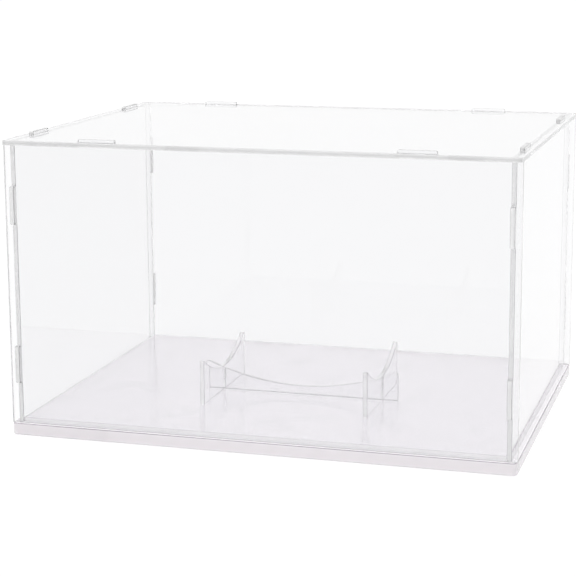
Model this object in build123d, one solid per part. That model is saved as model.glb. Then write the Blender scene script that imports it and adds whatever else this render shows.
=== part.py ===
from build123d import *
import os

os.makedirs("parts", exist_ok=True)

# A clear acrylic display case for one full-size football. A cover made of five slotted
# sheets stands on a thick base slab, round a raised locating plate, and a slotted cradle
# stands on that plate. All sizes are in millimetres. X runs along the case, Y from front to
# back and Z up. The origin is the middle of the base slab's underside.

# Stock
SHEET = 3.0
SLAB_THICKNESS = 8.0
SLOT_GAP = 0.1

# Case
CASE_WIDTH = 340.0
CASE_DEPTH = 255.0
WALL_HEIGHT = 187.0
LONG_WALL_INSET = 2.5
SIDE_WALL_INSET = 4.0
LOCATOR_GAP = 0.5
SLAB_CORNER = 4.0
SLAB_BEVEL = 0.4
LID_CORNER = 1.5
LOCATOR_CORNER = 1.0

# Tabs and slots of the cover
TAB_LENGTH = 25.0
TAB_PROUD = 2.0
TAB_CORNER = 1.0
LONG_TAB_FROM_END = 65.0
SIDE_TAB_FROM_END = 46.0
UPRIGHT_TAB_FROM_END = 40.0

# Cradle for the ball
CRADLE_SPACING = 115.0
CRADLE_DEPTH = 90.0
CRADLE_ARC_RADIUS = 75.0
CRADLE_ARC_LOW = 17.0
HORN_TIP_RADIUS = 1.2
CRADLE_FORWARD = 17.0
CROSSBAR_LENGTH = 140.0
CROSSBAR_ARC_RADIUS = 171.0
CROSSBAR_ARC_LOW = 6.0
CROSSBAR_CORNER = 2.0
LAP_HEIGHT = 8.0

# Derived places
HALF_WIDTH = CASE_WIDTH / 2
HALF_DEPTH = CASE_DEPTH / 2
WALL_FOOT_Z = SLAB_THICKNESS
LID_Z = WALL_FOOT_Z + WALL_HEIGHT
FLOOR_Z = SLAB_THICKNESS + SHEET
TAB_REACH = SHEET + TAB_PROUD
LONG_WALL_Y = HALF_DEPTH - LONG_WALL_INSET - SHEET / 2
SIDE_WALL_X = HALF_WIDTH - SIDE_WALL_INSET - SHEET / 2
SIDE_WALL_LENGTH = 2 * LONG_WALL_Y - SHEET
LONG_TAB_X = HALF_WIDTH - LONG_TAB_FROM_END
SIDE_TAB_Y = HALF_DEPTH - SIDE_TAB_FROM_END
UPRIGHT_TAB_HEIGHTS = (UPRIGHT_TAB_FROM_END, WALL_HEIGHT - UPRIGHT_TAB_FROM_END)


def slot(along, across):
    """A slot for something of this size, with the gap left on every side."""
    return Rectangle(along + 2 * SLOT_GAP, across + 2 * SLOT_GAP)


def cut_sheet(outline, middle, across, up):
    """A flat piece of sheet whose mid-plane passes through middle, with the outline's
    X along across and its Y along up."""
    plane = Plane(origin=middle, x_dir=across, z_dir=Vector(*across).cross(Vector(*up)))
    return extrude(plane * outline, SHEET / 2, both=True)


def long_wall_outline():
    """The front and back panels: two tabs on top and four slots for the side panels."""
    outline = Pos(0, WALL_HEIGHT / 2) * Rectangle(CASE_WIDTH, WALL_HEIGHT)
    top_tab = Rectangle(TAB_LENGTH, 2 * TAB_REACH)
    for side in (-1, 1):
        outline += Pos(side * LONG_TAB_X, WALL_HEIGHT) * top_tab
        for height in UPRIGHT_TAB_HEIGHTS:
            outline -= Pos(side * SIDE_WALL_X, height) * slot(SHEET, TAB_LENGTH)
    tips = outline.vertices().filter_by(lambda corner: corner.Y > WALL_HEIGHT + SHEET)
    return fillet(tips, TAB_CORNER)


def side_wall_outline():
    """The left and right panels: two tabs on top and two on each upright edge."""
    outline = Pos(0, WALL_HEIGHT / 2) * Rectangle(SIDE_WALL_LENGTH, WALL_HEIGHT)
    top_tab = Rectangle(TAB_LENGTH, 2 * TAB_REACH)
    edge_tab = Rectangle(2 * TAB_REACH, TAB_LENGTH)
    for side in (-1, 1):
        outline += Pos(side * SIDE_TAB_Y, WALL_HEIGHT) * top_tab
        for height in UPRIGHT_TAB_HEIGHTS:
            outline += Pos(side * SIDE_WALL_LENGTH / 2, height) * edge_tab
    tips = outline.vertices().filter_by(
        lambda corner: corner.Y > WALL_HEIGHT + SHEET
        or abs(corner.X) > SIDE_WALL_LENGTH / 2 + SHEET
    )
    return fillet(tips, TAB_CORNER)


def lid_outline():
    """The top panel: two slots along each edge."""
    outline = RectangleRounded(CASE_WIDTH, CASE_DEPTH, LID_CORNER)
    for left_right in (-1, 1):
        for front_back in (-1, 1):
            long_place = Pos(left_right * LONG_TAB_X, front_back * LONG_WALL_Y)
            side_place = Pos(left_right * SIDE_WALL_X, front_back * SIDE_TAB_Y)
            outline -= long_place * slot(TAB_LENGTH, SHEET)
            outline -= side_place * slot(SHEET, TAB_LENGTH)
    return outline


def saddle(width, arc_low, arc_radius, tip_radius):
    """A flat-footed outline whose top is an arc, with both of its tips rounded."""
    arc = Pos(0, arc_low + arc_radius) * Circle(arc_radius)
    blank = Pos(0, arc_radius / 2) * Rectangle(width, arc_radius)
    outline = blank - arc
    return fillet(outline.vertices().group_by(Axis.Y)[-1], tip_radius)


def cradle_outline():
    """One upright of the cradle: two horns, with a half-lap slot that is open below."""
    horns = saddle(CRADLE_DEPTH, CRADLE_ARC_LOW, CRADLE_ARC_RADIUS, HORN_TIP_RADIUS)
    return horns - Rectangle(SHEET + 2 * SLOT_GAP, 2 * LAP_HEIGHT)


def crossbar_outline():
    """The bar between the uprights: a shallow arc clear of the ball, with a half-lap slot
    for each upright that is open above."""
    bar = saddle(CROSSBAR_LENGTH, CROSSBAR_ARC_LOW, CROSSBAR_ARC_RADIUS, CROSSBAR_CORNER)
    opening = Rectangle(SHEET + 2 * SLOT_GAP, 2 * LAP_HEIGHT)
    for side in (-1, 1):
        bar -= Pos(side * CRADLE_SPACING / 2, 2 * LAP_HEIGHT) * opening
    return bar


def base_slab():
    """The thick slab under everything, with rounded corners and eased edges."""
    slab = extrude(RectangleRounded(CASE_WIDTH, CASE_DEPTH, SLAB_CORNER), SLAB_THICKNESS)
    rims = slab.edges().group_by(Axis.Z)
    return chamfer(rims[0] + rims[-1], SLAB_BEVEL)


def locating_plate():
    """The sheet bonded on the slab, which the cover's four walls drop round."""
    width = 2 * (SIDE_WALL_X - SHEET / 2 - LOCATOR_GAP)
    depth = 2 * (LONG_WALL_Y - SHEET / 2 - LOCATOR_GAP)
    outline = RectangleRounded(width, depth, LOCATOR_CORNER)
    return cut_sheet(outline, (0, 0, FLOOR_Z - SHEET / 2), (1, 0, 0), (0, 1, 0))


def main():
    pieces = {"base_slab": base_slab(), "locating_plate": locating_plate()}

    lid_middle = (0, 0, LID_Z + SHEET / 2)
    pieces["top_panel"] = cut_sheet(lid_outline(), lid_middle, (1, 0, 0), (0, 1, 0))

    long_wall = long_wall_outline()
    side_wall = side_wall_outline()
    for name, side in (("front_panel", -1), ("back_panel", 1)):
        foot = (0, side * LONG_WALL_Y, WALL_FOOT_Z)
        pieces[name] = cut_sheet(long_wall, foot, (1, 0, 0), (0, 0, 1))
    for name, side in (("left_panel", -1), ("right_panel", 1)):
        foot = (side * SIDE_WALL_X, 0, WALL_FOOT_Z)
        pieces[name] = cut_sheet(side_wall, foot, (0, 1, 0), (0, 0, 1))

    cradle = cradle_outline()
    for name, side in (("left_cradle", -1), ("right_cradle", 1)):
        foot = (side * CRADLE_SPACING / 2, -CRADLE_FORWARD, FLOOR_Z)
        pieces[name] = cut_sheet(cradle, foot, (0, 1, 0), (0, 0, 1))
    foot = (0, -CRADLE_FORWARD, FLOOR_Z)
    pieces["cradle_crossbar"] = cut_sheet(crossbar_outline(), foot, (1, 0, 0), (0, 0, 1))

    for name, solid in pieces.items():
        export_step(solid, f"parts/{name}.step")
        size = solid.bounding_box().size
        print(f"{name}: {size.X:.1f} x {size.Y:.1f} x {size.Z:.1f}, {solid.volume:.0f} mm3")


main()
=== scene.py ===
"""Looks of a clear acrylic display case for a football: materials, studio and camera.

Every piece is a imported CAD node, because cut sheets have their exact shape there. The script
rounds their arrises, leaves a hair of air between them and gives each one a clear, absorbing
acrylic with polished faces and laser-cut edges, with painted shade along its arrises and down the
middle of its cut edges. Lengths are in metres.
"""

import math

import bpy
from mathutils import Matrix, Vector


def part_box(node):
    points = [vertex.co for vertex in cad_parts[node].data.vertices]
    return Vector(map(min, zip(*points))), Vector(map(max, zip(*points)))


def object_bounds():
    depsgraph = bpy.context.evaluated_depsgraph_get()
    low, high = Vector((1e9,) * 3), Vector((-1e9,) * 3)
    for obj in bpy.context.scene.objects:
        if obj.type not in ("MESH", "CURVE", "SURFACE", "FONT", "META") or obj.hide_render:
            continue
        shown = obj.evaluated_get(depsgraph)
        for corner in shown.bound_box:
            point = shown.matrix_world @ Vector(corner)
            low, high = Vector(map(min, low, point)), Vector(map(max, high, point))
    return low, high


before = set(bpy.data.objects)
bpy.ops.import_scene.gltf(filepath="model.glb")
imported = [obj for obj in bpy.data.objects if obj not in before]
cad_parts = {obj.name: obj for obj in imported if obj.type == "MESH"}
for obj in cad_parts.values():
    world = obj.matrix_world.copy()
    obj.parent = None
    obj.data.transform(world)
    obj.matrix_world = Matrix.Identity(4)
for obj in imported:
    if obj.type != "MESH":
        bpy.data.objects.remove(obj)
cad_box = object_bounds()

MM = 0.001

# Geometry of the cut pieces: how far each surface is drawn in to leave air between pieces, the
# width of a rounded arris, the angle above which an edge is an arris, and what counts as one
# flat face and as one point
AIR_GAP = 0.02 * MM
ARRIS = {"sheet": 0.2 * MM, "slab": 0.35 * MM}
ARRIS_STEPS = 2
SHARP_ANGLE = math.radians(30)
FLAT_ANGLE = math.radians(0.5)
WELD_GAP = 0.002 * MM

# Acrylic. A surface's squareness is how far its normal points along the piece's thickness: 1 on
# a face and 0 on a cut edge. Noise runs from 0 to 1.
ACRYLIC_IOR = 1.49
CUT_TO_FACE = (0.5, 0.9)
CUT_TO_ARRIS = (0.05, 0.30)
RIB_DETAIL = 3.0
RIB_NOISE_ROUGHNESS = 0.6
RIB_NOISE_SPAN = (0.3, 0.7)
RIB_STRENGTH = 0.5
SMUDGE_SCALE = 38.0
SMUDGE_DETAIL = 4.0
SMUDGE_NOISE_ROUGHNESS = 0.55
SMUDGE_NOISE_SPAN = (0.45, 0.75)

# What the looks say:
#   depth_colour, depth_density: absorption inside the piece
#   face: tint of light that passes a face
#   cut_rim, cut_core_painted_shade: tint of a cut edge beside the faces, and painted shade halfway
#       between them
#   cut_clear: how much of a cut edge is clear, the rest being frosted
#   arris, arris_ends: painted shade darkening the arrises, and the squareness over which it gives
#       way to the face
#   face_roughness, cut_roughness: lowest and highest roughness, from smudges and from saw ribs
#   rib_scale, rib_depth: how fine and how deep the saw ribs are
SHEET_FINISH = {
    "arris_ends": (0.93, 0.98),
    "face_roughness": (0.0, 0.02),
    "rib_scale": 2200.0,
    "rib_depth": 0.001 * MM,
}

LOOKS = {
    "sheet": {
        **SHEET_FINISH,
        "depth_colour": (0.76, 0.76, 0.78),
        "depth_density": 2.0,
        "face": (0.948, 0.948, 0.953),
        "cut_rim": (0.97, 0.97, 0.97),
        "cut_core_painted_shade": (0.78, 0.78, 0.78),
        "cut_clear": 0.45,
        "arris": (0.05, 0.05, 0.05),
        "cut_roughness": (0.05, 0.06),
    },
    # Painted shade and light: the side walls copy the sheet acrylic with a darker face tint and
    # lighter cut edges and arrises, for how they stand to the light
    "side_wall": {
        **SHEET_FINISH,
        "depth_colour": (0.76, 0.76, 0.78),
        "depth_density": 1.2,
        "face": (0.935, 0.935, 0.94),
        "cut_rim": (1.0, 1.0, 1.0),
        "cut_core_painted_shade": (0.97, 0.97, 0.97),
        "cut_clear": 0.65,
        "arris": (0.20, 0.20, 0.20),
        "cut_roughness": (0.04, 0.05),
    },
    # Painted light: the stand copies the sheet acrylic with a lighter face tint and white cut
    # edges, standing in for the highlight its edges catch
    "stand": {
        **SHEET_FINISH,
        "depth_colour": (0.80, 0.80, 0.82),
        "depth_density": 1.0,
        "face": (0.975, 0.975, 0.98),
        "cut_rim": (1.0, 1.0, 1.0),
        "cut_core_painted_shade": (1.0, 1.0, 1.0),
        "cut_clear": 0.7,
        "arris": (0.25, 0.25, 0.25),
        "cut_roughness": (0.06, 0.10),
    },
    "plate": {
        "depth_colour": (0.86, 0.84, 0.87),
        "depth_density": 1.0,
        "face": (0.962, 0.952, 0.968),
        "cut_rim": (1.0, 1.0, 1.0),
        "cut_core_painted_shade": (0.99, 0.98, 0.99),
        "cut_clear": 0.6,
        "arris": (0.75, 0.73, 0.75),
        "arris_ends": (0.93, 0.98),
        "face_roughness": (0.15, 0.19),
        "cut_roughness": (0.04, 0.06),
        "rib_scale": 900.0,
        "rib_depth": 0.0005 * MM,
    },
    "slab": {
        "depth_colour": (0.74, 0.68, 0.76),
        "depth_density": 2.4,
        "face": (0.948, 0.930, 0.955),
        "cut_rim": (0.942, 0.922, 0.932),
        "cut_core_painted_shade": (0.922, 0.900, 0.912),
        "cut_clear": 0.45,
        "arris": (0.72, 0.70, 0.72),
        "arris_ends": (0.45, 0.65),
        "face_roughness": (0.01, 0.03),
        "cut_roughness": (0.08, 0.12),
        "rib_scale": 900.0,
        "rib_depth": 0.002 * MM,
    },
}

# Studio: a floor that glows like a light table, white walls, a greyer ceiling and one lamp. The
# ceiling's span is in the height of a direction: 0 is the horizon and 1 is straight up.
WHITE = (1.0, 1.0, 1.0, 1.0)
FLOOR_SIZE = 14.0
FLOOR_DROP = 0.3 * MM
FLOOR_COLOUR = (0.18, 0.18, 0.18, 1.0)
FLOOR_GLOW = 0.86
FLOOR_ROUGHNESS = 0.9
WALL_BRIGHTNESS = 1.0
CEILING_BRIGHTNESS = 0.94
WALL_TO_CEILING = (0.3, 0.9)
LAMP_PLACE = Vector((-0.9, -1.2, 1.8))
LAMP_SIZE = 1.2
LAMP_POWER = 5.4

# How often light may pass or mirror off clear surfaces, and scatter off frosted ones
CLEAR_BOUNCES = 64
DIFFUSE_BOUNCES = 8

# Camera: where it stands, how it is turned, and its lens
CAMERA_PLACE = Vector((0.3219, -1.1221, 0.3334))
CAMERA_AZIMUTH = math.radians(15.89)
CAMERA_DOWN = math.radians(10.54)
CAMERA_ROLL = math.radians(-0.20)
CAMERA_LENS = 105.73
CAMERA_SENSOR = 36.0
CAMERA_SHIFT = (-0.04, -0.08)

# Sockets of a colour Mix node, whose names are shared with its other data types
MIX_FIRST = 6
MIX_SECOND = 7
MIX_RESULT = 2

# The axis across each piece's thickness (0 is X, 1 is Y and 2 is Z) and its look
PIECES = {
    "base_slab": (2, "slab"),
    "locating_plate": (2, "plate"),
    "top_panel": (2, "sheet"),
    "front_panel": (1, "sheet"),
    "back_panel": (1, "sheet"),
    "left_panel": (0, "side_wall"),
    "right_panel": (0, "side_wall"),
    "left_cradle": (0, "stand"),
    "right_cradle": (0, "stand"),
    "cradle_crossbar": (1, "stand"),
}


class Nodes:
    """Adds nodes to one tree and links them."""

    def __init__(self, tree):
        self.tree = tree
        tree.nodes.clear()

    def add(self, kind, **settings):
        node = self.tree.nodes.new(kind)
        for name, value in settings.items():
            setattr(node, name, value)
        return node

    def join(self, source, target):
        self.tree.links.new(source, target)

    def math(self, operation, first, second=None):
        """A Math node. first is a socket, and second is a socket or a number."""
        node = self.add("ShaderNodeMath", operation=operation)
        for slot, value in zip(node.inputs, (first, second)):
            if isinstance(value, bpy.types.NodeSocket):
                self.join(value, slot)
            elif value is not None:
                slot.default_value = value
        return node.outputs[0]

    def span(self, value, low, high, to_low, to_high):
        """value carried smoothly from low..high to to_low..to_high, and held beyond them."""
        node = self.add("ShaderNodeMapRange", interpolation_type="SMOOTHSTEP")
        self.join(value, node.inputs["Value"])
        ends = {"From Min": low, "From Max": high, "To Min": to_low, "To Max": to_high}
        for name, number in ends.items():
            node.inputs[name].default_value = number
        return node.outputs["Result"]

    def noise(self, vector, scale, detail, roughness):
        """A noise texture's value at vector."""
        node = self.add("ShaderNodeTexNoise")
        self.join(vector, node.inputs["Vector"])
        node.inputs["Scale"].default_value = scale
        node.inputs["Detail"].default_value = detail
        node.inputs["Roughness"].default_value = roughness
        return node.outputs["Fac"]


def blend_to(n, factor, first, second):
    """A colour that goes from first to second with factor. first is a socket or a colour."""
    node = n.add("ShaderNodeMix", data_type="RGBA")
    n.join(factor, node.inputs["Factor"])
    if isinstance(first, bpy.types.NodeSocket):
        n.join(first, node.inputs[MIX_FIRST])
    else:
        node.inputs[MIX_FIRST].default_value = (*first, 1.0)
    node.inputs[MIX_SECOND].default_value = (*second, 1.0)
    return node.outputs[MIX_RESULT]


def surface_masks(n, place, axis, look, low_side, high_side):
    """Masks, from 0 to 1, of a piece's cut edges, of their middle line and of its arrises. The
    middle-line and arris masks carry painted shade.
    """
    facing = n.add("ShaderNodeSeparateXYZ")
    n.join(place.outputs["Normal"], facing.inputs[0])
    squareness = n.math("ABSOLUTE", facing.outputs[axis])
    cut = n.span(squareness, *CUT_TO_FACE, 1.0, 0.0)
    # The arris mask carries painted shade: a darker line along each rounded arris, where
    # refraction would darken it
    arris_start = n.span(squareness, *CUT_TO_ARRIS, 0.0, 1.0)
    arris_end = n.span(squareness, *look["arris_ends"], 1.0, 0.0)
    arris = n.math("MULTIPLY", arris_start, arris_end)

    # The middle-line mask carries painted shade: a cut edge made darker halfway between the faces
    spot = n.add("ShaderNodeSeparateXYZ")
    n.join(place.outputs["Object"], spot.inputs[0])
    off_middle = n.math("SUBTRACT", spot.outputs[axis], (low_side + high_side) / 2)
    off_middle = n.math("ABSOLUTE", off_middle)
    painted_shade_core = n.span(off_middle, 0.0, (high_side - low_side) / 2, 1.0, 0.0)
    painted_shade_core = n.math("MULTIPLY", painted_shade_core, cut)
    return cut, painted_shade_core, arris


def polish_and_ribs(n, place, shader, axis, look, cut):
    """Smudged, polished faces, and cut edges with fine ribs across the thickness."""
    ribs_place = n.add("ShaderNodeVectorMath", operation="MULTIPLY")
    n.join(place.outputs["Object"], ribs_place.inputs[0])
    ribs_place.inputs[1].default_value = [0.0 if i == axis else 1.0 for i in range(3)]
    ribs = n.noise(ribs_place.outputs[0], look["rib_scale"], RIB_DETAIL, RIB_NOISE_ROUGHNESS)
    smudges = n.noise(place.outputs["Object"], SMUDGE_SCALE, SMUDGE_DETAIL, SMUDGE_NOISE_ROUGHNESS)

    roughness = n.add("ShaderNodeMix")
    n.join(cut, roughness.inputs["Factor"])
    face_roughness = n.span(smudges, *SMUDGE_NOISE_SPAN, *look["face_roughness"])
    n.join(face_roughness, roughness.inputs["A"])
    cut_roughness = n.span(ribs, *RIB_NOISE_SPAN, *look["cut_roughness"])
    n.join(cut_roughness, roughness.inputs["B"])
    n.join(roughness.outputs["Result"], shader.inputs["Roughness"])

    bump = n.add("ShaderNodeBump")
    bump.inputs["Distance"].default_value = look["rib_depth"]
    bump.inputs["Strength"].default_value = RIB_STRENGTH
    n.join(n.math("MULTIPLY", ribs, cut), bump.inputs["Height"])
    n.join(bump.outputs["Normal"], shader.inputs["Normal"])


def acrylic(name, axis, look, low_side, high_side):
    """Clear acrylic for a piece whose thickness runs along axis, from low_side to high_side."""
    material = bpy.data.materials.new(name)
    material.use_nodes = True
    n = Nodes(material.node_tree)
    output = n.add("ShaderNodeOutputMaterial")
    shader = n.add("ShaderNodeBsdfPrincipled")
    n.join(shader.outputs["BSDF"], output.inputs["Surface"])
    shader.inputs["IOR"].default_value = ACRYLIC_IOR

    absorption = n.add("ShaderNodeVolumeAbsorption")
    absorption.inputs["Color"].default_value = (*look["depth_colour"], 1.0)
    absorption.inputs["Density"].default_value = look["depth_density"]
    n.join(absorption.outputs["Volume"], output.inputs["Volume"])

    place = n.add("ShaderNodeTexCoord")
    cut, painted_shade_core, arris = surface_masks(n, place, axis, look, low_side, high_side)
    clearness = n.span(cut, 0.0, 1.0, 1.0, look["cut_clear"])
    n.join(clearness, shader.inputs["Transmission Weight"])
    colour = blend_to(n, cut, look["face"], look["cut_rim"])
    # Painted shade: a cut edge darkened halfway between the faces, where light led along the sheet
    # leaves it darker
    colour = blend_to(n, painted_shade_core, colour, look["cut_core_painted_shade"])
    # Painted shade: the arrises darkened into lines, standing in for the light that refraction
    # turns away there
    colour = blend_to(n, arris, colour, look["arris"])
    n.join(colour, shader.inputs["Base Color"])
    polish_and_ribs(n, place, shader, axis, look, cut)
    return material


def flat_shading():
    """A node modifier that shades every facet flat, with no leftover custom normals."""
    group = bpy.data.node_groups.new("flat_shading", "GeometryNodeTree")
    group.interface.new_socket("Geometry", in_out="INPUT", socket_type="NodeSocketGeometry")
    group.interface.new_socket("Geometry", in_out="OUTPUT", socket_type="NodeSocketGeometry")
    n = Nodes(group)
    entry = n.add("NodeGroupInput")
    leave = n.add("NodeGroupOutput")
    plain = n.add("GeometryNodeRemoveAttribute")
    plain.inputs["Name"].default_value = "custom_normal"
    flat = n.add("GeometryNodeSetShadeSmooth")
    flat.inputs["Shade Smooth"].default_value = False
    n.join(entry.outputs["Geometry"], plain.inputs["Geometry"])
    n.join(plain.outputs["Geometry"], flat.inputs["Geometry"])
    n.join(flat.outputs["Geometry"], leave.inputs["Geometry"])
    return group


def finish_cut_piece(node, arris, shading):
    """Gives a CAD piece clean flat faces, a hair of air round it and a rounded arris."""
    weld = node.modifiers.new("weld", "WELD")
    weld.merge_threshold = WELD_GAP
    flats = node.modifiers.new("flats", "DECIMATE")
    flats.decimate_type = "DISSOLVE"
    flats.angle_limit = FLAT_ANGLE
    air = node.modifiers.new("air", "DISPLACE")
    air.direction = "NORMAL"
    air.mid_level = 0.0
    air.strength = -AIR_GAP
    rounding = node.modifiers.new("arris", "BEVEL")
    rounding.width = arris
    rounding.segments = ARRIS_STEPS
    rounding.limit_method = "ANGLE"
    rounding.angle_limit = SHARP_ANGLE
    node.modifiers.new("shading", "NODES").node_group = shading


def dress_case():
    """Finishes every CAD piece and gives it its own acrylic."""
    shading = flat_shading()
    for name, (axis, look) in PIECES.items():
        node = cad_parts[name]
        finish_cut_piece(node, ARRIS["slab" if look == "slab" else "sheet"], shading)
        low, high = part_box(name)
        material = acrylic(f"acrylic_{name}", axis, LOOKS[look], low[axis], high[axis])
        node.material_slots[0].material = material


def make_floor():
    """A wide, softly glowing floor just under the slab."""
    reach = FLOOR_SIZE / 2
    mesh = bpy.data.meshes.new("floor")
    corners = [(-reach, -reach, 0), (reach, -reach, 0), (reach, reach, 0), (-reach, reach, 0)]
    mesh.from_pydata(corners, [], [(0, 1, 2, 3)])
    floor = bpy.data.objects.new("floor", mesh)
    floor.location.z = cad_box[0].z - FLOOR_DROP
    bpy.context.scene.collection.objects.link(floor)
    material = bpy.data.materials.new("floor")
    material.use_nodes = True
    shader = material.node_tree.nodes["Principled BSDF"]
    shader.inputs["Base Color"].default_value = FLOOR_COLOUR
    shader.inputs["Emission Color"].default_value = WHITE
    shader.inputs["Emission Strength"].default_value = FLOOR_GLOW
    shader.inputs["Roughness"].default_value = FLOOR_ROUGHNESS
    shader.inputs["Specular IOR Level"].default_value = 0.0
    mesh.materials.append(material)


def make_world():
    """White studio walls and a slightly greyer ceiling."""
    world = bpy.data.worlds.new("studio")
    bpy.context.scene.world = world
    world.use_nodes = True
    n = Nodes(world.node_tree)
    output = n.add("ShaderNodeOutputWorld")
    background = n.add("ShaderNodeBackground")
    background.inputs["Color"].default_value = WHITE
    n.join(background.outputs[0], output.inputs["Surface"])
    place = n.add("ShaderNodeTexCoord")
    direction = n.add("ShaderNodeSeparateXYZ")
    n.join(place.outputs["Generated"], direction.inputs[0])
    levels = (WALL_BRIGHTNESS, CEILING_BRIGHTNESS)
    brightness = n.span(direction.outputs["Z"], *WALL_TO_CEILING, *levels)
    n.join(brightness, background.inputs["Strength"])


def make_lamp():
    """One large soft lamp above, in front and to the left."""
    data = bpy.data.lights.new("softbox", "AREA")
    data.shape = "SQUARE"
    data.size = LAMP_SIZE
    data.energy = LAMP_POWER
    lamp = bpy.data.objects.new("softbox", data)
    lamp.location = LAMP_PLACE
    lamp.rotation_euler = (-LAMP_PLACE).to_track_quat("-Z", "Y").to_euler()
    bpy.context.scene.collection.objects.link(lamp)


def make_camera():
    """The camera at the photograph's place, with its slight roll and shift."""
    azimuth, down, roll = CAMERA_AZIMUTH, CAMERA_DOWN, CAMERA_ROLL
    ahead = Vector(
        (-math.sin(azimuth) * math.cos(down), math.cos(azimuth) * math.cos(down), -math.sin(down))
    )
    right = Vector((math.cos(azimuth), math.sin(azimuth), 0.0))
    up = right.cross(ahead)
    rolled_right = right * math.cos(roll) + up * math.sin(roll)
    rolled_up = up * math.cos(roll) - right * math.sin(roll)
    turn = Matrix((rolled_right, rolled_up, -ahead)).transposed()

    data = bpy.data.cameras.new("camera")
    data.sensor_width = CAMERA_SENSOR
    data.lens = CAMERA_LENS
    data.shift_x, data.shift_y = CAMERA_SHIFT
    camera = bpy.data.objects.new("camera", data)
    camera.matrix_world = Matrix.Translation(CAMERA_PLACE) @ turn.to_4x4()
    bpy.context.scene.collection.objects.link(camera)
    bpy.context.scene.camera = camera


def set_light_paths():
    """Lets light travel along a sheet to its far edge, as it does in acrylic. The glossy filter
    is off, because it blurs the panes for light that has met a frosted edge, and darkens both."""
    scene = bpy.context.scene
    scene.view_settings.view_transform = "Standard"
    scene.cycles.max_bounces = CLEAR_BOUNCES
    scene.cycles.transmission_bounces = CLEAR_BOUNCES
    scene.cycles.glossy_bounces = CLEAR_BOUNCES
    scene.cycles.diffuse_bounces = DIFFUSE_BOUNCES
    scene.cycles.blur_glossy = 0.0


dress_case()
make_floor()
make_world()
make_lamp()
make_camera()
set_light_paths()
